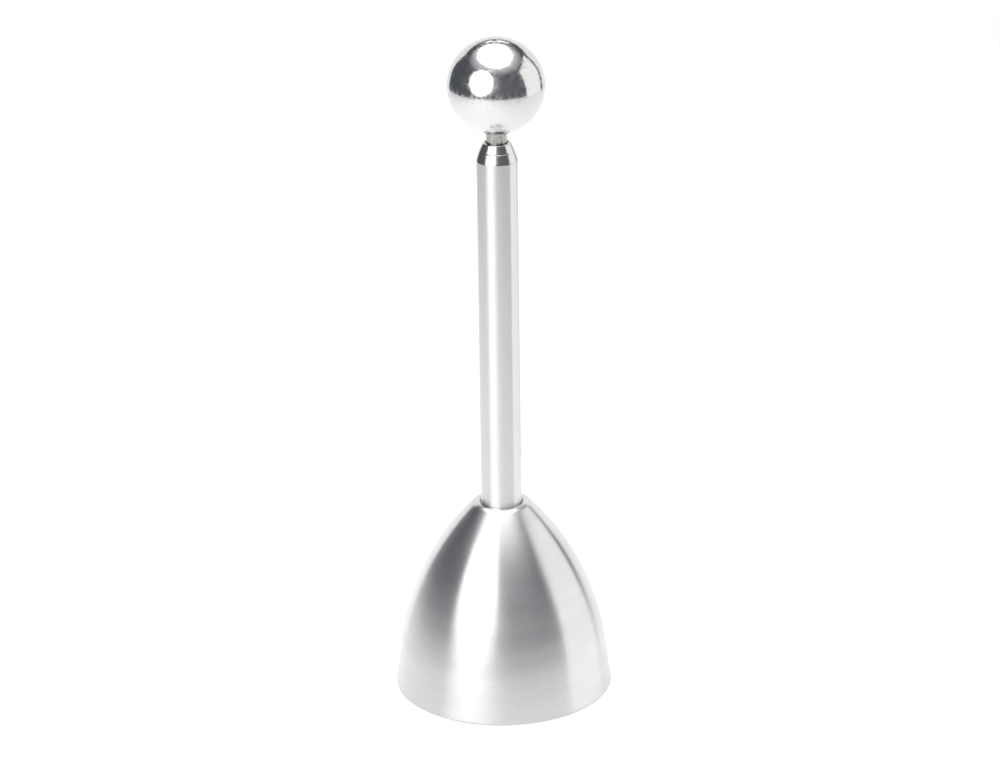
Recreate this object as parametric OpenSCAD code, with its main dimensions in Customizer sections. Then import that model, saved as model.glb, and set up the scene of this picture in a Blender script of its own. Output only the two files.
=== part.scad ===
// Spring-loaded egg topper.
// Lift the ball knob against the spring and let it go: the striker hits the anvil plug,
// and the shock runs down the bell to its rim and scores a ring around the egg's shell.
// Millimetres. +Z is up, and the origin is the centre of the bell's rim.

/* [Bell] */
// Outer diameter of the bell at its rim
bell_d = 42.6; // [38:0.2:50]
// Height of the bell from its rim to its crest
bell_h = 38.6; // [33:0.2:46]
// Thickness of the bell's wall
bell_wall = 1.0; // [0.7:0.05:1.3]
// Height of the straight skirt above the rim
skirt_h = 8.0; // [5:0.5:11]
// Lean of the skirt from upright, in degrees
skirt_lean = 7.3; // [5:0.1:9]
// Radius of the shoulder that ends at the crest
shoulder_r = 1.8; // [1.4:0.1:2.4]
// Radius of the round from the crest into the pocket for the tube
lip_r = 0.4; // [0.2:0.05:0.6]
// Depth of that pocket below the crest
pocket_depth = 0.8; // [0.6:0.1:1.4]
// Thickness of the flat web under the pocket
web_t = 1.4; // [1:0.1:2]
// Radius of the fillet inside the bell, around the web
web_fillet_r = 0.8; // [0.4:0.1:1.2]
// Width of the flat land that the rim stands on
rim_land = 0.5; // [0.3:0.05:0.6]
// Height of the bevel inside the rim
rim_bevel_h = 1.0; // [0.5:0.1:2]

/* [Handle tube] */
// Outer diameter of the tube
tube_d = 8.0; // [7.6:0.1:9]
// Wall of the tube
tube_wall = 0.6; // [0.4:0.05:0.7]
// Length of the tube
tube_len = 70.8; // [64:0.2:90]

/* [Nose bush] */
// Height of the nose above the tube
nose_h = 3.5; // [3:0.1:5]
// Height of the lower taper, up to the fine groove
nose_taper_h = 1.8; // [1.4:0.1:2.2]
// Diameter of the nose at the groove
nose_groove_d = 7.0; // [6.6:0.1:7.4]
// Width of the groove
nose_groove_w = 0.3; // [0.2:0.05:0.5]
// Depth of the groove
nose_groove_depth = 0.12; // [0.05:0.01:0.2]
// Diameter of the nose at its tip
nose_tip_d = 5.5; // [5.1:0.05:6]
// Depth of the wider mouth around the rod
mouth_depth = 0.8; // [0.4:0.1:1.5]
// Length of the spigot inside the tube
spigot_len = 6.0; // [4:0.5:9]

/* [Pull rod] */
// Diameter of the rod
rod_d = 4.0; // [3.6:0.05:4.2]
// Bare rod between the nose and the ball's flat spot, with the knob down
neck_h = 2.1; // [1.5:0.05:4]
// Threaded length inside the ball
knob_thread_len = 8.0; // [5:0.5:11]
// Threaded length inside the striker
striker_thread_len = 10.0; // [6:0.5:12]

/* [Ball knob] */
// Diameter of the ball
knob_d = 18.6; // [16:0.1:24]
// Diameter of the flat spot faced around the rod
knob_spot_d = 5.0; // [4.6:0.1:6]

/* [Striker] */
// Length of the striker
striker_len = 16.0; // [13:0.5:20]
// Bevel at both ends of the striker
striker_bevel = 0.6; // [0.2:0.1:0.9]

/* [Spring] */
// Diameter of the spring's wire
wire_d = 0.7; // [0.5:0.05:0.8]
// Number of turns
spring_turns = 20; // [14:1:22]
// Free gap between the closely wound turns at each end
end_turn_gap = 0.5; // [0.45:0.05:0.8]
// Thickness of the washers at the spring's ends
spring_washer_t = 0.5; // [0.3:0.1:0.8]

/* [Anvil plug and clamp screw] */
// Height of the plug
plug_h = 9.5; // [9:0.5:13]
// Diameter of the clamp screw
screw_d = 4.0; // [3.4:0.1:4.2]
// Length of the screw under its head
screw_len = 8.0; // [6:0.5:9]
// Diameter of the screw's domed head
screw_head_d = 7.6; // [7:0.1:8.6]
// Height of the head
screw_head_h = 2.2; // [1.8:0.1:2.8]
// Height of the straight edge of the head
screw_head_edge = 0.4; // [0.2:0.1:0.6]
// Width across the flats of the hexagon socket
socket_af = 2.5; // [2:0.1:3]
// Depth of the socket
socket_depth = 1.3; // [0.8:0.1:1.4]
// Diameter of the plain washer
washer_d = 9.0; // [8.6:0.1:10]
// Thickness of the plain washer
washer_t = 0.8; // [0.5:0.1:1.2]
// Diameter of the split lock washer
lock_washer_d = 7.4; // [6.8:0.1:8]
// Thickness of the lock washer
lock_washer_t = 0.9; // [0.6:0.1:1.2]
// Width of its slit
lock_slit_w = 0.6; // [0.3:0.1:1]
// Slant of its slit, in degrees
lock_slit_slant = 30; // [0:5:45]

/* [Fits] */
// Radial clearance of the tube in the bell's pocket
pocket_clear = 0.15; // [0.05:0.05:0.3]
// Radial clearance of pieces that are pressed or screwed together for good
fixed_clear = 0.02; // [0.01:0.01:0.04]
// Radial clearance of the rod in its guide
guide_clear = 0.05; // [0.02:0.01:0.08]
// Radial clearance of the rod in the wider mouth
mouth_clear = 0.25; // [0.15:0.05:0.4]
// Radial clearance of the striker and the spring washers in the tube
slide_clear = 0.15; // [0.1:0.05:0.3]
// Radial clearance of the spring in the tube
spring_clear = 0.25; // [0.2:0.05:0.35]
// Radial clearance of screw and rod in the holes of plain pieces
hole_clear = 0.2; // [0.1:0.05:0.3]
// Room past the end of a screw or rod in a blind hole
blind_clear = 0.5; // [0.3:0.1:1]

/* [Hidden] */
$fn = 96;

// Steps of the drawn arcs
side_steps = 24;
round_steps = 6;
// Drawing of the spring's wire
wire_sides = 6;
rings_per_turn = 12;
spring_end_clear = 0.02;
// Small bevels that break the edges of turned pieces
edge_break = 0.1;
entry_bevel = 0.4;
drill_tip_lean = 31;

tube_r = tube_d / 2;
tube_bore_r = tube_r - tube_wall;
rod_r = rod_d / 2;
screw_r = screw_d / 2;
wire_r = wire_d / 2;

// Heights, from the rim up
seat_z = bell_h - pocket_depth;
ceiling_z = seat_z - web_t;
tube_top = seat_z + tube_len;
nose_top = tube_top + nose_h;
anvil_z = seat_z + plug_h;
striker_top = anvil_z + striker_len;
spring_bottom = striker_top + spring_washer_t;
spring_top = tube_top - spigot_len - spring_washer_t;
knob_spot_z = nose_top + neck_h;
knob_z = knob_spot_z + sqrt(pow(knob_d, 2) - pow(knob_spot_d, 2)) / 2;
screw_seat_z = ceiling_z - washer_t - lock_washer_t;

// The bell's outside runs from the straight skirt into one long side arc, and from that into
// the shoulder, with no kink at either place. side_r is the one radius that does both.
pocket_r = tube_r + pocket_clear;
crest_r = pocket_r + lip_r;
skirt_top = [bell_d / 2 - skirt_h * tan(skirt_lean), skirt_h];
skirt_out = [cos(skirt_lean), sin(skirt_lean)];
shoulder_c = [crest_r, bell_h - shoulder_r];
shoulder_to_skirt = skirt_top - shoulder_c;
side_r = (shoulder_to_skirt * shoulder_to_skirt - pow(shoulder_r, 2))
    / (2 * (shoulder_to_skirt * skirt_out - shoulder_r));
side_c = skirt_top - side_r * skirt_out;
shoulder_from = direction(shoulder_c - side_c);

// The inside follows it one wall further in, up to the fillet under the web.
inside_r = side_r - bell_wall;
fillet_z = ceiling_z - web_fillet_r;
fillet_c = [
    side_c.x + sqrt(pow(inside_r - web_fillet_r, 2) - pow(fillet_z - side_c.y, 2)),
    fillet_z
];
fillet_from = direction(fillet_c - side_c);
inside_skirt_top = side_c + inside_r * skirt_out;
rim_bevel_top = [
    inside_skirt_top.x + (inside_skirt_top.y - rim_bevel_h) * tan(skirt_lean),
    rim_bevel_h
];

// The spring as it stands with the knob down: one close turn at each end, the rest even.
spring_mean_r = tube_bore_r - spring_clear - wire_r;
end_pitch = wire_d + end_turn_gap;
coil_from = spring_bottom + wire_r + spring_end_clear;
coil_rise = spring_top - spring_bottom - wire_d - 2 * spring_end_clear;
open_pitch = (coil_rise - 2 * end_pitch) / (spring_turns - 2);
spring_rings = spring_turns * rings_per_turn;
echo(least_gap_between_turns = min([
    for (i = [1:spring_rings - rings_per_turn - 1]) gap_to_next_turn(i)
]));

function direction(v) = atan2(v.y, v.x);

// Points of an arc, both ends included
function arc(centre, radius, from, to, steps) = [
    for (i = [0:steps])
        let (a = from + (to - from) * i / steps)
            centre + radius * [cos(a), sin(a)]
];

// Height of the wire's centre after a number of turns
function coil_z(turn) = coil_from
    + end_pitch * min(turn, 1)
    + open_pitch * max(0, min(turn, spring_turns - 1) - 1)
    + end_pitch * max(0, turn - (spring_turns - 1));

function coil_point(turn) = [
    spring_mean_r * cos(360 * turn),
    spring_mean_r * sin(360 * turn),
    coil_z(turn)
];

// One ring of points around the wire, square to the way that it runs
function wire_ring(turn) =
    let (
        out = [cos(360 * turn), sin(360 * turn), 0],
        step = 0.5 / rings_per_turn,
        ahead = coil_point(min(spring_turns, turn + step)) - coil_point(max(0, turn - step)),
        side = cross(ahead, out) / norm(cross(ahead, out))
    ) [
        for (k = [0:wire_sides - 1])
            let (a = 360 * k / wire_sides)
                coil_point(turn) + wire_r * (cos(a) * out + sin(a) * side)
    ];

// Least distance from one ring's points to those of the three rings a turn further on
function gap_to_next_turn(i) = min([
    for (
        near = [-1:1],
        p = wire_ring(i / rings_per_turn),
        q = wire_ring(1 + (i + near) / rings_per_turn)
    )
        norm(p - q)
]);

// A flat ring that stands on z = 0
module ring(outer_r, inner_r, thickness) {
    rotate_extrude()
        translate([inner_r, 0])
            square([outer_r - inner_r, thickness]);
}

// A blind tapped hole that opens at z = 0 and runs up, with a drill's cone at its end
module tapped_hole(radius, depth) {
    rotate_extrude()
        polygon([
            [0, -1],
            [radius + entry_bevel, -1],
            [radius + entry_bevel, 0],
            [radius, entry_bevel],
            [radius, depth],
            [0, depth + radius * tan(drill_tip_lean)]
        ]);
}

// Polished steel ball, spot-faced and tapped from below
module ball_knob() {
    color("gainsboro")
        difference() {
            translate([0, 0, knob_z])
                sphere(d = knob_d);
            translate([-knob_d / 2, -knob_d / 2, knob_spot_z - knob_d])
                cube(knob_d);
            translate([0, 0, knob_spot_z])
                tapped_hole(rod_r + fixed_clear, knob_thread_len + blind_clear);
        }
}

// Drawn steel rod from the striker to the ball
module pull_rod() {
    rod_bottom = striker_top - striker_thread_len;
    rod_top = knob_spot_z + knob_thread_len;
    color("darkgray")
        rotate_extrude()
            polygon([
                [0, rod_bottom],
                [rod_r - entry_bevel, rod_bottom],
                [rod_r, rod_bottom + entry_bevel],
                [rod_r, rod_top - entry_bevel],
                [rod_r - entry_bevel, rod_top],
                [0, rod_top]
            ]);
}

// Turned nose with two tapers and a fine groove between them, on a spigot in the tube
module nose_bush() {
    spigot_r = tube_bore_r - fixed_clear;
    guide_r = rod_r + guide_clear;
    mouth_r = rod_r + mouth_clear;
    groove_r = nose_groove_d / 2;
    color("silver")
        translate([0, 0, tube_top])
            rotate_extrude()
                polygon([
                    [guide_r, -spigot_len],
                    [spigot_r - entry_bevel, -spigot_len],
                    [spigot_r, entry_bevel - spigot_len],
                    [spigot_r, 0],
                    [tube_r - edge_break, 0],
                    [tube_r, edge_break],
                    [groove_r, nose_taper_h],
                    [groove_r - nose_groove_depth, nose_taper_h + nose_groove_w / 2],
                    [groove_r - nose_groove_w / 2, nose_taper_h + nose_groove_w],
                    [nose_tip_d / 2, nose_h - edge_break],
                    [nose_tip_d / 2 - edge_break, nose_h],
                    [mouth_r, nose_h],
                    [mouth_r, nose_h - mouth_depth],
                    [guide_r, nose_h - mouth_depth]
                ]);
}

// Thin steel tube that is the handle and the barrel
module handle_tube() {
    color("lightgray")
        rotate_extrude()
            polygon([
                [tube_bore_r, seat_z],
                [tube_r - edge_break, seat_z],
                [tube_r, seat_z + edge_break],
                [tube_r, tube_top - edge_break],
                [tube_r - edge_break, tube_top],
                [tube_bore_r, tube_top]
            ]);
}

// Washer between the spring and one of its seats
module spring_washer() {
    ring(tube_bore_r - slide_clear, rod_r + hole_clear, spring_washer_t);
}

module upper_spring_washer() {
    color("gray")
        translate([0, 0, spring_top])
            spring_washer();
}

module lower_spring_washer() {
    color("gray")
        translate([0, 0, striker_top])
            spring_washer();
}

// Compression spring that throws the striker down: one wire, swept along its helix
module main_spring() {
    points = [for (i = [0:spring_rings]) each wire_ring(i / rings_per_turn)];
    last = spring_rings * wire_sides;
    walls = [
        for (i = [0:spring_rings - 1], k = [0:wire_sides - 1])
            let (
                a = i * wire_sides + k,
                b = i * wire_sides + (k + 1) % wire_sides
            )
                each [[a, a + wire_sides, b], [b, a + wire_sides, b + wire_sides]]
    ];
    caps = [
        for (k = [1:wire_sides - 2])
            each [[0, k, k + 1], [last, last + k + 1, last + k]]
    ];
    color("darkgray")
        polyhedron(points, concat(walls, caps));
}

// Loose-running hammer, screwed onto the rod
module striker() {
    striker_r = tube_bore_r - slide_clear;
    color("gray")
        difference() {
            rotate_extrude()
                polygon([
                    [0, anvil_z],
                    [striker_r - striker_bevel, anvil_z],
                    [striker_r, anvil_z + striker_bevel],
                    [striker_r, striker_top - striker_bevel],
                    [striker_r - striker_bevel, striker_top],
                    [0, striker_top]
                ]);
            translate([0, 0, striker_top])
                mirror([0, 0, 1])
                    tapped_hole(rod_r + fixed_clear, striker_thread_len + blind_clear);
        }
}

// Solid plug pressed into the tube's foot: anvil above, tapped hole below
module anvil_plug() {
    plug_r = tube_bore_r - fixed_clear;
    color("gray")
        difference() {
            rotate_extrude()
                polygon([
                    [0, seat_z],
                    [plug_r - edge_break, seat_z],
                    [plug_r, seat_z + edge_break],
                    [plug_r, anvil_z - entry_bevel],
                    [plug_r - entry_bevel, anvil_z],
                    [0, anvil_z]
                ]);
            translate([0, 0, seat_z])
                tapped_hole(
                    screw_r + fixed_clear,
                    screw_len - lock_washer_t - washer_t - web_t + blind_clear
                );
        }
}

// Drawn steel bell with a pocket for the tube and a bevelled rim
module bell() {
    hole_r = screw_r + hole_clear;
    color("silver")
        rotate_extrude()
            polygon(concat(
                [[bell_d / 2, 0]],
                arc(side_c, side_r, skirt_lean, shoulder_from, side_steps),
                arc(shoulder_c, shoulder_r, shoulder_from, 90, round_steps),
                arc([crest_r, bell_h - lip_r], lip_r, 90, 180, round_steps),
                [[pocket_r, seat_z], [hole_r, seat_z], [hole_r, ceiling_z]],
                arc(fillet_c, web_fillet_r, 90, fillet_from, round_steps),
                arc(side_c, inside_r, fillet_from, skirt_lean, side_steps),
                [rim_bevel_top, [bell_d / 2 - rim_land, 0]]
            ));
}

// Plain washer under the web
module clamp_washer() {
    color("lightgray")
        translate([0, 0, ceiling_z - washer_t])
            ring(washer_d / 2, screw_r + hole_clear, washer_t);
}

// Spring lock washer, split by a slanting slit
module lock_washer() {
    color("darkgray")
        translate([0, 0, ceiling_z - washer_t - lock_washer_t])
            difference() {
                ring(lock_washer_d / 2, screw_r + hole_clear, lock_washer_t);
                translate([lock_washer_d / 2, 0, lock_washer_t / 2])
                    rotate([lock_slit_slant, 0, 0])
                        cube(
                            [lock_washer_d, lock_slit_w, 4 * lock_washer_t],
                            center = true
                        );
            }
}

// Domed socket screw that clamps the bell to the plug
module clamp_screw() {
    head_r = screw_head_d / 2;
    dome_h = screw_head_h - screw_head_edge;
    dome_r = (pow(head_r, 2) + pow(dome_h, 2)) / (2 * dome_h);
    dome_c = [0, dome_r - screw_head_h];
    dome_from = direction([head_r, -screw_head_edge] - dome_c);
    color("silver")
        translate([0, 0, screw_seat_z])
            difference() {
                rotate_extrude()
                    polygon(concat(
                        arc(dome_c, dome_r, -90, dome_from, round_steps),
                        [
                            [head_r, 0],
                            [screw_r, 0],
                            [screw_r, screw_len - entry_bevel],
                            [screw_r - entry_bevel, screw_len],
                            [0, screw_len]
                        ]
                    ));
                translate([0, 0, -screw_head_h - 1])
                    cylinder(
                        d = socket_af / cos(30),
                        h = socket_depth + 1,
                        $fn = 6
                    );
            }
}

ball_knob();
pull_rod();
nose_bush();
handle_tube();
upper_spring_washer();
main_spring();
lower_spring_washer();
striker();
anvil_plug();
bell();
clamp_washer();
lock_washer();
clamp_screw();
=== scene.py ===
import math

import bpy
from mathutils import Matrix, Vector


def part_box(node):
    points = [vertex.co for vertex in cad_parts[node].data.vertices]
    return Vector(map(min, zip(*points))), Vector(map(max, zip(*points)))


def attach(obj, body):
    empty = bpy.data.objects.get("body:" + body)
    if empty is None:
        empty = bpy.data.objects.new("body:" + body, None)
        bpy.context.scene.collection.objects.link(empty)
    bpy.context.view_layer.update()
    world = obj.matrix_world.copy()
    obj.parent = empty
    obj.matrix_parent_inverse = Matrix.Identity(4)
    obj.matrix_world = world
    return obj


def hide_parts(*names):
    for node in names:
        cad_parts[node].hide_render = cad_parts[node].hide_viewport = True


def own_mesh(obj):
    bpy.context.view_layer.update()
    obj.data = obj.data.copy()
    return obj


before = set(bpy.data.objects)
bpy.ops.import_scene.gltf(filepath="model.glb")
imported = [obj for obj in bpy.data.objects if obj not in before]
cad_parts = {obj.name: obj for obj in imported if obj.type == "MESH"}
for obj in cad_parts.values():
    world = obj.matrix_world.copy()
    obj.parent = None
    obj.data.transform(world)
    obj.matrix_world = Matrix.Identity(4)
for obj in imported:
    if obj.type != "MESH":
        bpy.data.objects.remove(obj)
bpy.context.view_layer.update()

# ---- Camera ----
# A long lens, a good arm's length away and well above the rim, tilted down at the tool. It is
# rolled by less than a degree, so that the tool's axis leans a little to the left.
MM = 0.001

lens_mm = 143.06
sensor_mm = 36.0
camera_away = 711.2 * MM
camera_height = 349.45 * MM
camera_tilt = math.radians(21.993)
camera_roll = math.radians(-0.756)

bpy.ops.object.camera_add()
camera = bpy.context.object
camera.name = "camera"
camera.data.sensor_width = sensor_mm
camera.data.lens = lens_mm
camera.data.clip_start = 10 * MM
camera.matrix_world = (
    Matrix.Translation((0, -camera_away, camera_height))
    @ Matrix.Rotation(math.radians(90) - camera_tilt, 4, "X")
    @ Matrix.Rotation(camera_roll, 4, "Z")
)
bpy.context.scene.camera = camera
bpy.context.scene.view_settings.view_transform = "Standard"


# ---- Studio ----
# A round white table with a low curved backdrop behind it, in a dim room. An oval softbox hangs
# overhead, a round lamp stands front left, a tall softbox right and a strip light at the back.
room_grey = "#505359"
spill_grey = "#CACACD"
paper_white = "#F0F0F1"
lamp_white = "#FFFFFF"
softbox_white = "#FFFDFC"

knob_height = 123.5
table_radius = 440.0
table_gap = 0.02
table_hole_r = 20.5
seen_glow = 0.52
near_glow = 0.2
far_glow = 0.04
near_reach = 100.0
far_reach = 350.0
right_reach = 90.0
right_share = 0.35
backdrop_height = 340.0
backdrop_from = 132.0
backdrop_sweep = 88.0
backdrop_glow = 1.08
overhead_away = 900.0
overhead_azimuth = 345.0
overhead_elevation = 85.3
overhead_across = 31.5
overhead_along = 37.5
overhead_glow = 2.4
ceiling_from = 0.62
ceiling_full = 0.83
ground_from = -0.4
ground_full = -0.8
lamp_away = 560.0
lamp_azimuth = 217.5
lamp_elevation = 20.0
lamp_spread = 29.0
lamp_glow = 2.0
spill_azimuth = 205.0
spill_elevation = 22.0
spill_focus = 9.0
front_share = 0.1
front_full = -0.9
front_end = 0.1
table_gloss = 0.12
table_shine = 0.1
side_away = 1100.0
side_azimuth = 80.5
side_spread = 26.5
side_top = 38.0
side_bottom = -20.0
side_glow = 1.07
strip_away = 1100.0
strip_azimuth = 2.0
strip_elevation = 36.5
strip_across = 13.0
strip_along = 2.0
strip_glow = 2.4
merge_within = 0.0005
turn_steps = 192


def linear(code):
    """Turns an sRGB hex colour into the linear colour that a shader wants."""
    parts = [int(code[i:i + 2], 16) / 255 for i in (1, 3, 5)]
    return [c / 12.92 if c <= 0.04045 else ((c + 0.055) / 1.055) ** 2.4 for c in parts] + [1.0]


def add(tree, kind, feeds=None, **settings):
    """Adds a node, sets it, and gives each input in feeds a value or another node's output."""
    made = tree.nodes.new(kind)
    for name, value in settings.items():
        setattr(made, name, value)
    for socket, value in (feeds or {}).items():
        if isinstance(value, bpy.types.NodeSocket):
            tree.links.new(value, made.inputs[socket])
        else:
            made.inputs[socket].default_value = value
    return made


def between(tree, value, low, high, to_low, to_high):
    """Maps a pattern's range onto another range, held at its ends."""
    return add(
        tree,
        "ShaderNodeMapRange",
        {"Value": value, "From Min": low, "From Max": high, "To Min": to_low, "To Max": to_high},
    ).outputs["Result"]


def tint(tree, value, dark, light):
    """A colour between two hex colours, by a pattern's value."""
    ramp = add(tree, "ShaderNodeValToRGB", {"Fac": value})
    ramp.color_ramp.elements[0].color = linear(dark)
    ramp.color_ramp.elements[1].color = linear(light)
    return ramp.outputs["Color"]


def new_material(name):
    """An empty node material and its tree."""
    material = bpy.data.materials.new(name)
    material.use_nodes = True
    material.node_tree.nodes.clear()
    return material, material.node_tree


def wear(piece, *materials):
    """Gives the piece these materials, in the order of its material slots."""
    piece.data.materials.clear()
    for material in materials:
        piece.data.materials.append(material)


def pick(piece):
    """Makes this piece the only one selected."""
    bpy.ops.object.select_all(action="DESELECT")
    piece.select_set(True)
    bpy.context.view_layer.objects.active = piece


def draw(name, outline, start=0.0):
    """Draws an outline of (radius, height) corners in millimetres, and leaves it in edit mode."""
    bpy.ops.object.select_all(action="DESELECT")
    bpy.ops.mesh.primitive_plane_add(size=MM)
    bpy.context.object.name = name
    out = Vector((math.cos(math.radians(start)), math.sin(math.radians(start)), 0)) * MM
    up = Vector((0, 0, MM))
    bpy.ops.object.mode_set(mode="EDIT")
    bpy.ops.mesh.merge(type="CENTER")
    bpy.ops.transform.translate(value=out * outline[0][0] + up * outline[0][1])
    for (r0, z0), (r1, z1) in zip(outline, outline[1:]):
        bpy.ops.mesh.extrude_vertices_move(
            TRANSFORM_OT_translate={"value": out * (r1 - r0) + up * (z1 - z0)}
        )
    bpy.ops.mesh.select_all(action="SELECT")
    return bpy.context.object


def turn(name, outline, steps=turn_steps, sweep=360.0, start=0.0):
    """Spins an outline of (radius, height) corners in millimetres clockwise about Z."""
    piece = draw(name, outline, start)
    bpy.ops.mesh.spin(
        steps=steps, angle=math.radians(sweep), center=(0, 0, 0), axis=(0, 0, 1)
    )
    bpy.ops.mesh.select_all(action="SELECT")
    bpy.ops.mesh.remove_doubles(threshold=merge_within * MM)
    bpy.ops.mesh.normals_make_consistent(inside=False)
    bpy.ops.object.mode_set(mode="OBJECT")
    return piece


def glowing(name, code, strength):
    """The cloth of a softbox, which only glows."""
    material, tree = new_material(name)
    glow = add(tree, "ShaderNodeEmission", {"Color": linear(code), "Strength": strength})
    add(tree, "ShaderNodeOutputMaterial", {"Surface": glow.outputs["Emission"]})
    return material


def paper(name, code):
    """Glossy white card, seen from above only. It takes light, and glows to the lens and to metal.

    The glow that metal shows is a pool of light around the tool, which fades to the right.
    """
    material, tree = new_material(name)
    path = add(tree, "ShaderNodeLightPath")
    place = add(tree, "ShaderNodeTexCoord").outputs["Object"]
    reach = add(tree, "ShaderNodeVectorMath", {0: place}, operation="LENGTH").outputs["Value"]
    sideways = add(tree, "ShaderNodeSeparateXYZ", {"Vector": place}).outputs["X"]
    pool = add(
        tree,
        "ShaderNodeMath",
        {
            0: between(tree, reach, near_reach * MM, far_reach * MM, near_glow, far_glow),
            1: between(tree, sideways, 0.0, right_reach * MM, 1.0, right_share),
        },
        operation="MULTIPLY",
    ).outputs["Value"]
    to_lens = add(
        tree,
        "ShaderNodeMath",
        {0: path.outputs["Is Camera Ray"], 1: seen_glow},
        operation="MULTIPLY",
    )
    to_metal = add(
        tree,
        "ShaderNodeMath",
        {0: path.outputs["Is Glossy Ray"], 1: pool},
        operation="MULTIPLY",
    )
    level = add(
        tree,
        "ShaderNodeMath",
        {0: to_lens.outputs["Value"], 1: to_metal.outputs["Value"]},
        operation="ADD",
    )
    sheet = add(
        tree,
        "ShaderNodeBsdfPrincipled",
        {
            "Base Color": linear(code),
            "Roughness": table_gloss,
            "Specular IOR Level": table_shine,
        },
    )
    lit = add(
        tree, "ShaderNodeEmission", {"Color": linear(code), "Strength": level.outputs["Value"]}
    )
    both = add(
        tree, "ShaderNodeAddShader", {0: sheet.outputs["BSDF"], 1: lit.outputs["Emission"]}
    )
    side = add(tree, "ShaderNodeNewGeometry")
    clear = add(tree, "ShaderNodeBsdfTransparent")
    one_sided = add(
        tree,
        "ShaderNodeMixShader",
        {0: side.outputs["Backfacing"], 1: both.outputs["Shader"], 2: clear.outputs["BSDF"]},
    )
    add(tree, "ShaderNodeOutputMaterial", {"Surface": one_sided.outputs["Shader"]})
    return material


def towards(azimuth, elevation):
    """The direction at this azimuth, clockwise from +Y, and elevation."""
    a = math.radians(azimuth)
    e = math.radians(elevation)
    return Vector((math.sin(a) * math.cos(e), math.cos(a) * math.cos(e), math.sin(e)))


def hang(name, away, azimuth, elevation, across, along, material, oval=True):
    """A lamp that faces the knob from there, oval or square, with these half angles as its size."""
    knob = Vector((0, 0, knob_height))
    bpy.ops.object.select_all(action="DESELECT")
    if oval:
        bpy.ops.mesh.primitive_circle_add(vertices=96, radius=1, fill_type="NGON")
    else:
        bpy.ops.mesh.primitive_plane_add(size=2)
    panel = bpy.context.object
    panel.name = name
    panel.scale = (
        away * math.tan(math.radians(across)) * MM, away * math.tan(math.radians(along)) * MM, 1
    )
    facing = towards(azimuth, elevation)
    panel.location = (knob + facing * away) * MM
    panel.rotation_euler = (-facing).to_track_quat("Z", "Y").to_euler()
    panel.visible_camera = False
    wear(panel, material)
    return panel


# Metal sees grey walls, lighter in front, around the lamp's spill and at the ceiling, and white
# below the table. The lens sees only white.
world = bpy.data.worlds.new("dim_room")
bpy.context.scene.world = world
world.use_nodes = True
room = world.node_tree
room.nodes.clear()
looking = add(room, "ShaderNodeTexCoord").outputs["Generated"]
heading = add(room, "ShaderNodeSeparateXYZ", {"Vector": looking})
at_spill = add(
    room, "ShaderNodeVectorMath", {0: looking, 1: towards(spill_azimuth, spill_elevation)},
    operation="DOT_PRODUCT",
).outputs["Value"]
lit_wall = between(room, heading.outputs["Y"], front_full, front_end, front_share, 0.0)
for lit_part in (
    add(
        room, "ShaderNodeMath",
        {0: between(room, at_spill, 0.0, 1.0, 0.0, 1.0), 1: spill_focus}, operation="POWER",
    ).outputs["Value"],
    between(room, heading.outputs["Z"], ceiling_from, ceiling_full, 0.0, 1.0),
):
    lit_wall = add(
        room, "ShaderNodeMath", {0: lit_wall, 1: lit_part}, operation="MAXIMUM"
    ).outputs["Value"]
walls = add(room, "ShaderNodeBackground", {"Color": tint(room, lit_wall, room_grey, spill_grey)})
white = add(room, "ShaderNodeBackground", {"Color": linear(lamp_white)})
over_ground = add(
    room,
    "ShaderNodeMixShader",
    {
        0: between(room, heading.outputs["Z"], ground_full, ground_from, 1.0, 0.0),
        1: walls.outputs["Background"],
        2: white.outputs["Background"],
    },
)
shown = add(
    room,
    "ShaderNodeMixShader",
    {
        0: add(room, "ShaderNodeLightPath").outputs["Is Camera Ray"],
        1: over_ground.outputs["Shader"],
        2: white.outputs["Background"],
    },
)
add(room, "ShaderNodeOutputWorld", {"Surface": shown.outputs["Shader"]})

bpy.ops.object.select_all(action="DESELECT")
bpy.ops.mesh.primitive_circle_add(
    vertices=128, radius=table_radius * MM, fill_type="NGON", location=(0, 0, -table_gap * MM)
)
table = bpy.context.object
table.name = "table"
# A hole under the bell, which only a view from below sees, lets the white below light its inside.
bpy.ops.object.mode_set(mode="EDIT")
bpy.ops.mesh.select_all(action="SELECT")
bpy.ops.mesh.inset(thickness=(table_radius - table_hole_r) * MM)
bpy.ops.mesh.delete(type="FACE")
bpy.ops.object.mode_set(mode="OBJECT")
wear(table, paper("paper_table", paper_white))

backdrop = turn(
    "backdrop",
    [(table_radius, -table_gap), (table_radius, backdrop_height)],
    steps=48,
    sweep=backdrop_sweep,
    start=backdrop_from,
)
backdrop.visible_camera = False
wear(backdrop, glowing("paper_backdrop", paper_white, backdrop_glow))

hang(
    "overhead_softbox", overhead_away, overhead_azimuth, overhead_elevation,
    overhead_across, overhead_along, glowing("softbox_cloth", lamp_white, overhead_glow),
)
hang(
    "round_lamp", lamp_away, lamp_azimuth, lamp_elevation,
    lamp_spread, lamp_spread, glowing("lamp_cloth", lamp_white, lamp_glow),
)
hang(
    "side_softbox", side_away, side_azimuth, (side_top + side_bottom) / 2,
    side_spread, (side_top - side_bottom) / 2,
    glowing("side_softbox_cloth", softbox_white, side_glow), oval=False,
)
hang(
    "strip_light", strip_away, strip_azimuth, strip_elevation,
    strip_across, strip_along, glowing("strip_cloth", softbox_white, strip_glow), oval=False,
)


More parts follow.
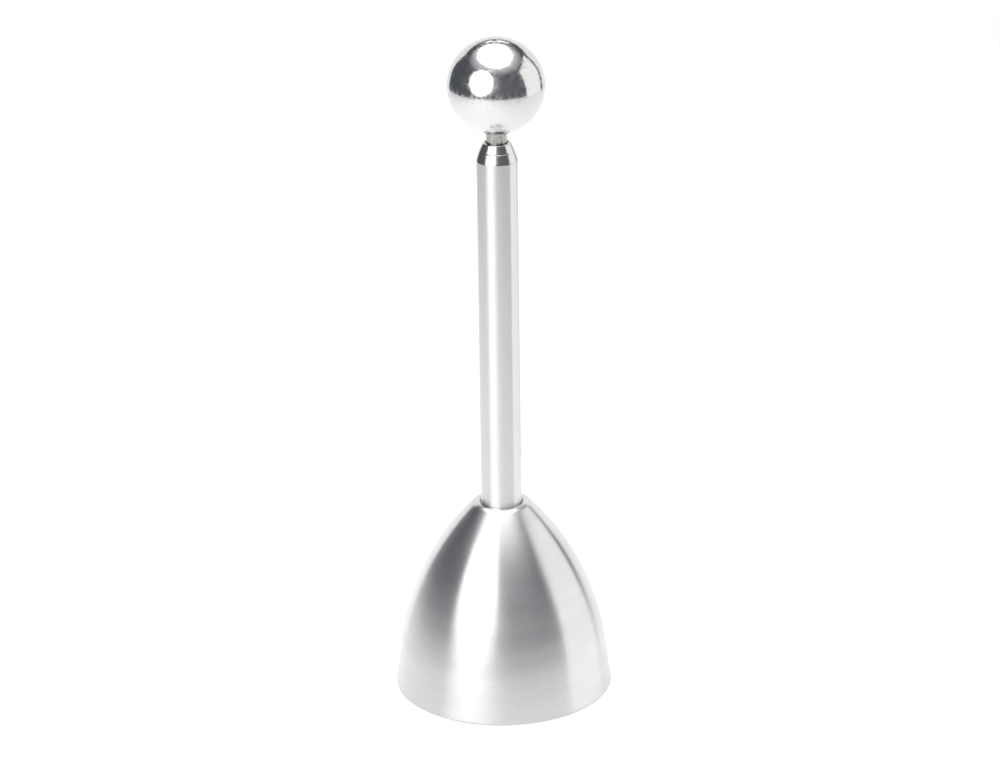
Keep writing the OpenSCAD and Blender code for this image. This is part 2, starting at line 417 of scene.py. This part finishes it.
# ---- Bell ----
# Stainless sheet, drawn to a bell over a former and turned true at the rim, then satin finished
# with fine abrasive while it spins, so its scratches run around it. It stands on its rim.
bell_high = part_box("bell")[1]
rim_r = bell_high.x / MM
crest_z = bell_high.z / MM
bell_wall = 1.0
skirt_h = 8.0
skirt_lean = 7.3
shoulder_r = 1.8
lip_r = 0.4
pocket_r = 4.15
pocket_depth = 0.8
web_t = 1.4
web_fillet_r = 0.8
web_hole_r = 2.2
rim_land = 0.5
rim_bevel_h = 1.0
rim_round = 0.4
seat_z = crest_z - pocket_depth
ceiling_z = seat_z - web_t
facing_down = -0.5
clouds_long = 6
clouds_thick = 20
cloud_share = 0.6
worn_from = 0.35
worn_full = 0.65
across_scratches = 0.25


def arc(centre, radius, begin, end, steps):
    """Points of an arc in an outline, both ends included. Angles are in degrees from outward."""
    angles = [math.radians(begin + (end - begin) * i / steps) for i in range(steps + 1)]
    return [
        (centre[0] + radius * math.cos(a), centre[1] + radius * math.sin(a)) for a in angles
    ]


def bell_outline():
    """The bell's section: skirt, one long side arc, shoulder and lip, then back down inside."""
    lean = math.radians(skirt_lean)
    skirt_top = Vector((rim_r - skirt_h * math.tan(lean), skirt_h))
    skirt_out = Vector((math.cos(lean), math.sin(lean)))
    crest_r = pocket_r + lip_r
    shoulder_c = Vector((crest_r, crest_z - shoulder_r))
    across = skirt_top - shoulder_c
    side_r = (across.dot(across) - shoulder_r ** 2) / (2 * (across.dot(skirt_out) - shoulder_r))
    side_c = skirt_top - side_r * skirt_out
    to_shoulder = shoulder_c - side_c
    shoulder_from = math.degrees(math.atan2(to_shoulder.y, to_shoulder.x))
    inside_r = side_r - bell_wall
    fillet_z = ceiling_z - web_fillet_r
    fillet_c = Vector((
        side_c.x + math.sqrt((inside_r - web_fillet_r) ** 2 - (fillet_z - side_c.y) ** 2),
        fillet_z,
    ))
    to_fillet = fillet_c - side_c
    fillet_from = math.degrees(math.atan2(to_fillet.y, to_fillet.x))
    inside_top = side_c + inside_r * skirt_out
    rim_c = (rim_r - rim_round, rim_round)
    bevel_top = (inside_top.x + (inside_top.y - rim_bevel_h) * math.tan(lean), rim_bevel_h)
    return (
        arc(rim_c, rim_round, -90, skirt_lean, 6)
        + arc(side_c, side_r, skirt_lean, shoulder_from, 56)
        + arc(shoulder_c, shoulder_r, shoulder_from, 90, 12)[1:]
        + arc((crest_r, crest_z - lip_r), lip_r, 90, 180, 6)
        + [(pocket_r, seat_z), (web_hole_r, seat_z), (web_hole_r, ceiling_z)]
        + arc(fillet_c, web_fillet_r, 90, fillet_from, 8)
        + arc(side_c, inside_r, fillet_from, skirt_lean, 48)[1:]
        + [bevel_top, (rim_r - rim_land, 0), (rim_c[0], 0)]
    )


def per_mm(size):
    """The texture scale at which a pattern's features are this many millimetres."""
    return 1 / (size * MM)


def streaks(tree, long, thin, detail=2.0, roughness=0.5):
    """Noise that is this long in plan and this thin in height, so it runs around the tool."""
    place = add(tree, "ShaderNodeTexCoord").outputs["Object"]
    stretch = add(
        tree,
        "ShaderNodeMapping",
        {"Vector": place, "Scale": (per_mm(long), per_mm(long), per_mm(thin))},
    ).outputs["Vector"]
    return add(
        tree,
        "ShaderNodeTexNoise",
        {"Vector": stretch, "Scale": 1.0, "Detail": detail, "Roughness": roughness},
    ).outputs["Fac"]


def blend(tree, first, second, share):
    """Two patterns in one, with this share of the second."""
    return add(
        tree, "ShaderNodeMix", {"Factor": share, "A": first, "B": second}
    ).outputs["Result"]


def shade(piece, angle=30.0):
    """Shades the piece smooth and keeps edges sharper than the angle."""
    pick(piece)
    bpy.ops.object.shade_smooth_by_angle(angle=math.radians(angle))


def brushed_steel(name, colours, gloss, streak, grain, blur):
    """Stainless steel worked while it spins: scratches around it, and its blur up and down.

    gloss is the roughness of the finest and the coarsest patches; streak is the length, thickness
    and depth of a scratch in millimetres; grain is the size and depth of its grit; blur is how far
    the scratches draw a reflection out across them.
    """
    material, tree = new_material(name)
    scratches = streaks(tree, streak[0], streak[1])
    clouds = streaks(tree, clouds_long * streak[0], clouds_thick * streak[1], detail=1.0)
    grit = streaks(tree, grain[0], grain[0], detail=1.0)
    scored = add(tree, "ShaderNodeBump", {"Height": scratches, "Distance": streak[2] * MM})
    grained = add(
        tree,
        "ShaderNodeBump",
        {"Height": grit, "Distance": grain[1] * MM, "Normal": scored.outputs["Normal"]},
    )
    worn = blend(tree, scratches, clouds, cloud_share)
    coarse = between(tree, worn, worn_from, worn_full, 0.0, 1.0)
    around = add(tree, "ShaderNodeTangent", direction_type="RADIAL", axis="Z")
    steel = add(
        tree,
        "ShaderNodeBsdfPrincipled",
        {
            "Base Color": tint(tree, coarse, *colours),
            "Metallic": 1.0,
            "Roughness": between(tree, worn, worn_from, worn_full, *gloss),
            "Anisotropic": blur,
            "Anisotropic Rotation": across_scratches,
            "Normal": grained.outputs["Normal"],
            "Tangent": around.outputs["Tangent"],
        },
    )
    add(tree, "ShaderNodeOutputMaterial", {"Surface": steel.outputs["BSDF"]})
    return material


brushed_bell = turn("brushed_bell", bell_outline())
shade(brushed_bell)
for face in brushed_bell.data.polygons:
    outwards = face.center.x * face.normal.x + face.center.y * face.normal.y
    if outwards < 0 and face.center.z < seat_z * MM or face.normal.z < facing_down:
        face.material_index = 1
# Outside, the satin draws the room out into soft upright bands. Inside, the sheet keeps the coarser
# lines of the former that it was drawn over. Real satin scratches are about 0.02 mm thick, and here
# they are ten times as thick, so that they show.
wear(
    brushed_bell,
    brushed_steel(
        "stainless_brushed_around", ("#E2E2E2", "#ECECEB"), (0.278, 0.305),
        streak=(5.0, 0.2, 0.0002), grain=(0.45, 0.006), blur=0.87,
    ),
    brushed_steel(
        "stainless_drawn_inside", ("#B4B4B4", "#D6D6D4"), (0.3, 0.42),
        streak=(12.0, 0.5, 0.01), grain=(0.3, 0.003), blur=0.6,
    ),
)
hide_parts("bell")
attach(brushed_bell, "casing")


# ---- Handle tube ----
# Thin stainless tube, cut to length, with its ends faced and broken. It is satin finished around,
# finer than the bell, and stands in the bell's pocket.
tube_low, tube_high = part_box("handle_tube")
tube_r = tube_high.x / MM
tube_foot = tube_low.z / MM
tube_top = tube_high.z / MM
tube_wall = 0.6
tube_bore_r = tube_r - tube_wall
edge_break = 0.1

satin_tube = turn(
    "satin_tube",
    [
        (tube_bore_r, tube_foot),
        (tube_r - edge_break, tube_foot),
        (tube_r, tube_foot + edge_break),
        (tube_r, tube_top - edge_break),
        (tube_r - edge_break, tube_top),
        (tube_bore_r, tube_top),
        (tube_bore_r, tube_foot),
    ],
)
shade(satin_tube)
# Its scratches are too fine to see one by one, so it only draws the lamps out into long stripes.
wear(
    satin_tube,
    brushed_steel(
        "stainless_satin_tube", ("#E8E8E6", "#EBEBE9"), (0.236, 0.246),
        streak=(3.0, 0.25, 0.0001), grain=(0.4, 0.0003), blur=1.0,
    ),
)
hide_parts("handle_tube")
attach(satin_tube, "casing")


# ---- Anvil plug ----
# A short plug turned from bar and pressed into the tube's foot. The striker lands on its top, and
# the clamp screw goes into the tapped hole in its bottom.
plug_low, plug_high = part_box("anvil_plug")
plug_r = plug_high.x / MM
plug_foot = plug_low.z / MM
plug_top = plug_high.z / MM
entry_bevel = 0.4
hole_r = 2.02
drill_tip_lean = 31
drill_tip_h = hole_r * math.tan(math.radians(drill_tip_lean))
screw_reach = 4.9
blind_room = 0.5
bar_steps = 96


def hole_outline(mouth_z, depth, way):
    """Half the section of a blind tapped hole, from its drilled tip out to its bevelled mouth."""
    return [
        (0, mouth_z + way * (depth + drill_tip_h)),
        (hole_r, mouth_z + way * depth),
        (hole_r, mouth_z + way * entry_bevel),
        (hole_r + entry_bevel, mouth_z),
    ]


steel_plug = turn(
    "steel_plug",
    hole_outline(plug_foot, screw_reach + blind_room, 1)
    + [
        (plug_r - edge_break, plug_foot),
        (plug_r, plug_foot + edge_break),
        (plug_r, plug_top - entry_bevel),
        (plug_r - entry_bevel, plug_top),
        (0, plug_top),
    ],
    steps=bar_steps,
)
shade(steel_plug)
# The lathe tool's feed leaves even rings, so the surface glints in fine bright and dark bands.
turned = brushed_steel(
    "stainless_lathe_turned", ("#B4B4B4", "#C8C8C8"), (0.22, 0.34),
    streak=(20.0, 0.15, 0.004), grain=(0.3, 0.001), blur=0.7,
)
wear(steel_plug, turned)
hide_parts("anvil_plug")
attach(steel_plug, "casing")


# ---- Clamp washer ----
# A plain washer punched from stainless sheet, under the bell's web. The punch rounds its upper
# corners, and barrel polishing takes off the rest.
washer_low, washer_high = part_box("clamp_washer")
washer_r = washer_high.x / MM
washer_foot = washer_low.z / MM
washer_top = washer_high.z / MM
punch_round = 0.15


def washer_outline(outer_r, inner_r, foot, top, corner):
    """A ring's section with rounded upper corners and broken lower ones."""
    broken = corner / 3
    return (
        [(inner_r + broken, foot), (outer_r - broken, foot)]
        + arc((outer_r - corner, top - corner), corner, 0, 90, 5)
        + arc((inner_r + corner, top - corner), corner, 90, 180, 5)
        + [(inner_r, foot + broken), (inner_r + broken, foot)]
    )


plain_washer = turn(
    "plain_washer",
    washer_outline(washer_r, web_hole_r, washer_foot, washer_top, punch_round),
    steps=bar_steps,
)
shade(plain_washer)
# Tumbling in a barrel leaves a soft, even grey sheen with tiny knocks in every direction.
tumbled = brushed_steel(
    "stainless_barrel_polished", ("#C6C6C6", "#D4D4D3"), (0.2, 0.34),
    streak=(0.5, 0.5, 0.001), grain=(0.25, 0.003), blur=0.0,
)
wear(plain_washer, tumbled)
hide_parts("clamp_washer")
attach(plain_washer, "casing")


# ---- Lock washer ----
# Square spring wire, wound into one turn and cut off at a slant, then pressed flat under the
# screw's head. The slant's corners dig in when the screw tries to turn back.
lock_low, lock_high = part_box("lock_washer")
lock_foot = lock_low.z / MM
lock_top = lock_high.z / MM
lock_r = lock_high.y / MM
slit_w = 0.6
slit_slant = 30
wire_corner = 0.06


def carve(piece, cutter, operation="DIFFERENCE"):
    """Cuts the cutter out of the piece, or joins it on, and deletes the cutter."""
    pick(piece)
    bpy.ops.object.modifier_add(type="BOOLEAN")
    piece.modifiers[-1].object = cutter
    piece.modifiers[-1].operation = operation
    piece.modifiers[-1].solver = "EXACT"
    bpy.ops.object.modifier_apply(modifier=piece.modifiers[-1].name)
    bpy.data.objects.remove(cutter)


def soften(piece, width, angle=40.0):
    """Rounds every edge sharper than the angle to this width in millimetres."""
    pick(piece)
    bpy.ops.object.modifier_add(type="BEVEL")
    piece.modifiers[-1].width = width * MM
    piece.modifiers[-1].segments = 2
    piece.modifiers[-1].limit_method = "ANGLE"
    piece.modifiers[-1].angle_limit = math.radians(angle)
    bpy.ops.object.modifier_apply(modifier=piece.modifiers[-1].name)


split_washer = turn(
    "split_washer",
    [
        (web_hole_r, lock_foot),
        (lock_r, lock_foot),
        (lock_r, lock_top),
        (web_hole_r, lock_top),
        (web_hole_r, lock_foot),
    ],
    steps=bar_steps,
)
bpy.ops.object.select_all(action="DESELECT")
bpy.ops.mesh.primitive_cube_add(
    size=1,
    location=(lock_r * MM, 0, (lock_foot + lock_top) / 2 * MM),
    rotation=(math.radians(slit_slant), 0, 0),
    scale=(2 * lock_r * MM, slit_w * MM, 4 * (lock_top - lock_foot) * MM),
)
carve(split_washer, bpy.context.object)
soften(split_washer, wire_corner)
shade(split_washer)
# Hardened and tempered wire is darker than the rest, with a dull drawn skin.
sprung = brushed_steel(
    "spring_steel_drawn", ("#8E8E92", "#A6A6A8"), (0.3, 0.44),
    streak=(1.0, 0.3, 0.002), grain=(0.2, 0.002), blur=0.2,
)
wear(split_washer, sprung)
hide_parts("lock_washer")
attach(split_washer, "casing")


# ---- Clamp screw ----
# A stainless button-head screw, cold headed, with a pressed hexagon socket and a rolled thread. It
# goes up through both washers and the web, and clamps the bell to the plug.
screw_low, screw_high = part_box("clamp_screw")
head_r = screw_high.x / MM
head_foot = screw_low.z / MM
screw_top = screw_high.z / MM
screw_r = 2.0
screw_seat = lock_foot
head_edge = 0.4
dome_h = screw_seat - head_foot - head_edge
dome_r = (head_r ** 2 + dome_h ** 2) / (2 * dome_h)
dome_angle = math.degrees(math.asin(head_r / dome_r))
socket_across = 2.5
hexagon_half_angle = 30
socket_r = socket_across / 2 / math.cos(math.radians(hexagon_half_angle))
socket_depth = 1.3
head_corner = 0.05
thread_pitch = 0.7
thread_depth = 0.43
thread_foot_share = 0.46
thread_crest_share = 0.06
thread_sunk = 0.03
thread_runout = 0.6
thread_start = 0.15
thread_steps = 36
core_r = screw_r - thread_depth
core_end_break = 0.2


def wind(profile, turns, pitch, steps):
    """Winds a closed profile, the active piece, up around Z. steps counts the steps of a turn."""
    bpy.ops.object.modifier_add(type="SCREW")
    profile.modifiers[-1].angle = turns * math.tau
    profile.modifiers[-1].screw_offset = turns * pitch * MM
    profile.modifiers[-1].steps = round(turns * steps)
    profile.modifiers[-1].render_steps = round(turns * steps)
    bpy.ops.object.modifier_apply(modifier=profile.modifiers[-1].name)


def close_ends():
    """Fills the open ends of the mesh in edit mode, turns its faces outwards and leaves it."""
    bpy.ops.mesh.select_all(action="DESELECT")
    bpy.ops.mesh.select_mode(type="EDGE")
    bpy.ops.mesh.select_non_manifold()
    bpy.ops.mesh.edge_face_add()
    bpy.ops.mesh.select_all(action="SELECT")
    bpy.ops.mesh.normals_make_consistent(inside=False)
    bpy.ops.mesh.select_mode(type="VERT")
    bpy.ops.object.mode_set(mode="OBJECT")


def cut_thread(piece, low, high):
    """Winds a V-shaped ridge up the piece's core, its foot sunk into it, and joins it on."""
    foot_half = thread_foot_share * thread_pitch
    crest_half = thread_crest_share * thread_pitch
    sunk_r = core_r - thread_sunk
    corners = [
        (sunk_r, low), (screw_r, low + foot_half - crest_half),
        (screw_r, low + foot_half + crest_half), (sunk_r, low + 2 * foot_half),
    ]
    ridge = draw("ridge", corners)
    bpy.ops.mesh.edge_face_add()
    bpy.ops.mesh.delete(type="ONLY_FACE")
    bpy.ops.object.mode_set(mode="OBJECT")
    wind(ridge, (high - low - 2 * foot_half) / thread_pitch, thread_pitch, thread_steps)
    bpy.ops.object.mode_set(mode="EDIT")
    close_ends()
    carve(piece, ridge, "UNION")


dome_screw = turn(
    "dome_screw",
    arc((0, head_foot + dome_r), dome_r, -90, dome_angle - 90, 16)
    + [
        (head_r, screw_seat - edge_break),
        (head_r - edge_break, screw_seat),
        (screw_r, screw_seat),
        (core_r, screw_seat + thread_depth),
        (core_r, screw_top - core_end_break),
        (core_r - core_end_break, screw_top),
        (0, screw_top),
    ],
    steps=bar_steps,
)
bpy.ops.object.select_all(action="DESELECT")
bpy.ops.mesh.primitive_cylinder_add(
    vertices=6,
    radius=socket_r * MM,
    depth=2 * socket_depth * MM,
    location=(0, 0, head_foot * MM),
)
carve(dome_screw, bpy.context.object)
soften(dome_screw, head_corner)
cut_thread(dome_screw, screw_seat + thread_runout, screw_top - thread_start)
shade(dome_screw)
# Heading and a last tumble leave it bright, a little wavy and softly glossy.
headed = brushed_steel(
    "stainless_cold_headed", ("#D0D0D0", "#DCDCDB"), (0.12, 0.24),
    streak=(0.8, 0.8, 0.002), grain=(0.3, 0.002), blur=0.0,
)
wear(dome_screw, headed)
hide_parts("clamp_screw")
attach(dome_screw, "casing")


# ---- Pull rod ----
# Drawn stainless rod with a rolled thread at each end. It is left as drawn, so the short neck that
# shows under the ball is pale, a little rough and mottled.
rod_low, rod_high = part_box("pull_rod")
rod_r = rod_high.x / MM
rod_foot = rod_low.z / MM
rod_top = rod_high.z / MM
striker_thread = 10.0
knob_thread = 8.0
lower_thread_end = rod_foot + striker_thread - thread_runout
upper_thread_start = rod_top - knob_thread + thread_runout
thread_overrun = 0.1
line_long = 10
line_share = 0.5
skin_from = 0.48
skin_full = 0.6

drawn_rod = turn(
    "drawn_rod",
    [
        (0, rod_foot),
        (core_r - core_end_break, rod_foot),
        (core_r, rod_foot + core_end_break),
        (core_r, lower_thread_end),
        (rod_r, lower_thread_end + thread_depth),
        (rod_r, upper_thread_start - thread_depth),
        (core_r, upper_thread_start),
        (core_r, rod_top - core_end_break),
        (core_r - core_end_break, rod_top),
        (0, rod_top),
    ],
    steps=bar_steps,
)
cut_thread(drawn_rod, rod_foot + thread_start, lower_thread_end + thread_overrun)
cut_thread(drawn_rod, upper_thread_start - thread_overrun, rod_top - thread_start)
shade(drawn_rod)


def mottled_steel(name, dark, light, gloss, size, depth):
    """Drawn steel with its skin left on: pale, with dull spots of this size and long lines.

    gloss is the roughness of bright and dull spots; depth is the depth of the lines.
    """
    material, tree = new_material(name)
    specks = streaks(tree, size, size, detail=3.0, roughness=0.7)
    lines = streaks(tree, size / 2, line_long * size, detail=2.0, roughness=0.6)
    spots = blend(tree, specks, lines, line_share)
    dull = between(tree, spots, skin_from, skin_full, 0.0, 1.0)
    bump = add(tree, "ShaderNodeBump", {"Height": spots, "Distance": depth * MM})
    steel = add(
        tree,
        "ShaderNodeBsdfPrincipled",
        {
            "Base Color": tint(tree, dull, light, dark),
            "Metallic": 1.0,
            "Roughness": between(tree, dull, 0.0, 1.0, *gloss),
            "Normal": bump.outputs["Normal"],
        },
    )
    add(tree, "ShaderNodeOutputMaterial", {"Surface": steel.outputs["BSDF"]})
    return material


# The drawing die leaves a grey skin with fine lines along it and darker specks, which break up what
# it reflects.
wear(
    drawn_rod,
    mottled_steel(
        "stainless_drawn_rod", "#9A9A94", "#D2D2CC", (0.28, 0.4), size=0.4, depth=0.005,
    ),
)
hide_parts("pull_rod")
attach(drawn_rod, "plunger")


# ---- Striker ----
# The hammer: a loose-running cylinder turned from bar and screwed onto the rod's lower end. Its
# flat bottom meets the anvil.
striker_low, striker_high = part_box("striker")
striker_r = striker_high.x / MM
striker_foot = striker_low.z / MM
striker_top = striker_high.z / MM
striker_bevel = 0.6

steel_striker = turn(
    "steel_striker",
    [
        (0, striker_foot),
        (striker_r - striker_bevel, striker_foot),
        (striker_r, striker_foot + striker_bevel),
        (striker_r, striker_top - striker_bevel),
        (striker_r - striker_bevel, striker_top),
    ]
    + hole_outline(striker_top, striker_thread + blind_room, -1)[::-1],
    steps=bar_steps,
)
shade(steel_striker)
wear(steel_striker, turned)
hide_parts("striker")
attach(steel_striker, "plunger")


# ---- Spring washers ----
# Two thin punched washers, one on the striker and one under the nose bush. They carry the ends of
# the spring.
spring_washer_round = 0.1
for node, name, body in (
    ("lower_spring_washer", "washer_on_striker", "spring_seat"),
    ("upper_spring_washer", "washer_under_nose", "casing"),
):
    low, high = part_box(node)
    thin_washer = turn(
        name,
        washer_outline(high.x / MM, web_hole_r, low.z / MM, high.z / MM, spring_washer_round),
        steps=bar_steps,
    )
    shade(thin_washer)
    wear(thin_washer, tumbled)
    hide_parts(node)
    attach(thin_washer, body)


# ---- Main spring ----
# Round stainless spring wire, coiled cold, with one close turn at each end. It throws the plunger
# down, and on the real tool it closes up towards the nose bush as the knob is pulled. Here it is
# built at its rest length and stays with the casing.
spring_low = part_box("lower_spring_washer")[1].z / MM
spring_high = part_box("upper_spring_washer")[0].z / MM
wire_r = 0.35
wire_sides = 16
coil_r = 2.8
coil_steps = 48
coil_turns = 20
end_pitch = 1.2
end_clear = 0.02
coil_foot = spring_low + wire_r + end_clear
coil_rise = spring_high - spring_low - 2 * (wire_r + end_clear)
open_pitch = (coil_rise - 2 * end_pitch) / (coil_turns - 2)

stretches = []
stretch_foot = coil_foot
for turns, pitch in ((1, end_pitch), (coil_turns - 2, open_pitch), (1, end_pitch)):
    bpy.ops.object.select_all(action="DESELECT")
    bpy.ops.mesh.primitive_circle_add(
        vertices=wire_sides,
        radius=wire_r * MM,
        location=(coil_r * MM, 0, stretch_foot * MM),
        rotation=(math.radians(90), 0, 0),
    )
    bpy.ops.object.transform_apply(location=True, rotation=True, scale=True)
    stretch = bpy.context.object
    wind(stretch, turns, pitch, coil_steps)
    stretches.append(stretch)
    stretch_foot += turns * pitch
for stretch in stretches:
    stretch.select_set(True)
bpy.context.view_layer.objects.active = stretches[0]
bpy.ops.object.join()
coil_spring = bpy.context.object
coil_spring.name = "coil_spring"
bpy.ops.object.mode_set(mode="EDIT")
bpy.ops.mesh.select_all(action="SELECT")
bpy.ops.mesh.remove_doubles(threshold=merge_within * MM)
close_ends()
shade(coil_spring, angle=50.0)
wear(coil_spring, sprung)
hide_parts("main_spring")
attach(coil_spring, "casing")
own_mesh(coil_spring)


# ---- Nose bush ----
# Turned from bar in two tapers with a fine groove between them, and polished on the buff. Its
# spigot is pressed into the tube, and its bore guides the rod.
nose_low, nose_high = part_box("nose_bush")
nose_top = nose_high.z / MM
nose_foot = nose_low.z / MM
press_gap = 0.02
spigot_r = tube_bore_r - press_gap
taper_h = 1.8
groove_r = 3.5
groove_w = 0.3
groove_depth = 0.12
tip_r = 2.75
mouth_depth = 0.8
mouth_r = 2.25
guide_r = 2.05
haze_from = 0.44
haze_full = 0.57
haze_fade = 2.0


def polished_steel(name, colour, gloss, speck, wave, clear_to):
    """Stainless steel buffed to a mirror, with the haze and the soft waves that handling leaves.

    gloss is the roughness of clear and hazed spots; speck is a spot's size in millimetres; wave is
    the depth of the unevenness. Below the height clear_to there is no haze.
    """
    material, tree = new_material(name)
    haze = streaks(tree, speck, speck, detail=3.0, roughness=0.75)
    ripple = add(tree, "ShaderNodeBump", {"Height": haze, "Distance": wave * MM})
    place = add(tree, "ShaderNodeTexCoord").outputs["Object"]
    height = add(tree, "ShaderNodeSeparateXYZ", {"Vector": place}).outputs["Z"]
    handled = add(
        tree,
        "ShaderNodeMath",
        {
            0: between(tree, haze, haze_from, haze_full, 0.0, 1.0),
            1: between(tree, height, clear_to * MM, (clear_to + haze_fade) * MM, 0.0, 1.0),
        },
        operation="MULTIPLY",
    ).outputs["Value"]
    steel = add(
        tree,
        "ShaderNodeBsdfPrincipled",
        {
            "Base Color": linear(colour),
            "Metallic": 1.0,
            "Roughness": between(tree, handled, 0.0, 1.0, *gloss),
            "Normal": ripple.outputs["Normal"],
        },
    )
    add(tree, "ShaderNodeOutputMaterial", {"Surface": steel.outputs["BSDF"]})
    return material


polished_nose = turn(
    "polished_nose",
    [
        (guide_r, nose_foot),
        (spigot_r - entry_bevel, nose_foot),
        (spigot_r, nose_foot + entry_bevel),
        (spigot_r, tube_top),
        (tube_r - edge_break, tube_top),
        (tube_r, tube_top + edge_break),
        (groove_r, tube_top + taper_h),
        (groove_r - groove_depth, tube_top + taper_h + groove_w / 2),
        (groove_r - groove_w / 2, tube_top + taper_h + groove_w),
        (tip_r, nose_top - edge_break),
        (tip_r - edge_break, nose_top),
        (mouth_r, nose_top),
        (mouth_r, nose_top - mouth_depth),
        (guide_r, nose_top - mouth_depth),
        (guide_r, nose_foot),
    ],
)
shade(polished_nose, angle=12.0)
# The buff follows the turned tapers, so they mirror the lamps in hard bands, a little speckled.
wear(
    polished_nose,
    polished_steel(
        "stainless_buffed_nose", "#E4E4E2", (0.12, 0.26), speck=0.4, wave=0.0035,
        clear_to=nose_foot,
    ),
)
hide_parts("nose_bush")
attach(polished_nose, "casing")


# ---- Ball knob ----
# A steel ball, spot-faced and tapped from below, screwed onto the rod and buffed to a mirror.
ball_low, ball_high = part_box("ball_knob")
ball_r = ball_high.x / MM
ball_z = ball_high.z / MM - ball_r
spot_z = ball_low.z / MM
spot_angle = math.degrees(math.asin((spot_z - ball_z) / ball_r))
untouched_h = 0.5

polished_ball = turn(
    "polished_ball",
    hole_outline(spot_z, knob_thread + blind_room, 1)
    + arc((0, ball_z), ball_r, spot_angle, 90, 96),
)
shade(polished_ball)
# A clear mirror that shows the whole room, with a speckled haze of fine scratches around the lamps.
# Close to the rod no hand touches it, so the nose is mirrored there sharply.
wear(
    polished_ball,
    polished_steel(
        "stainless_buffed_ball", "#E6E6E5", (0.06, 0.26), speck=0.7, wave=0.003,
        clear_to=spot_z + untouched_h,
    ),
)
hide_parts("ball_knob")
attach(polished_ball, "plunger")
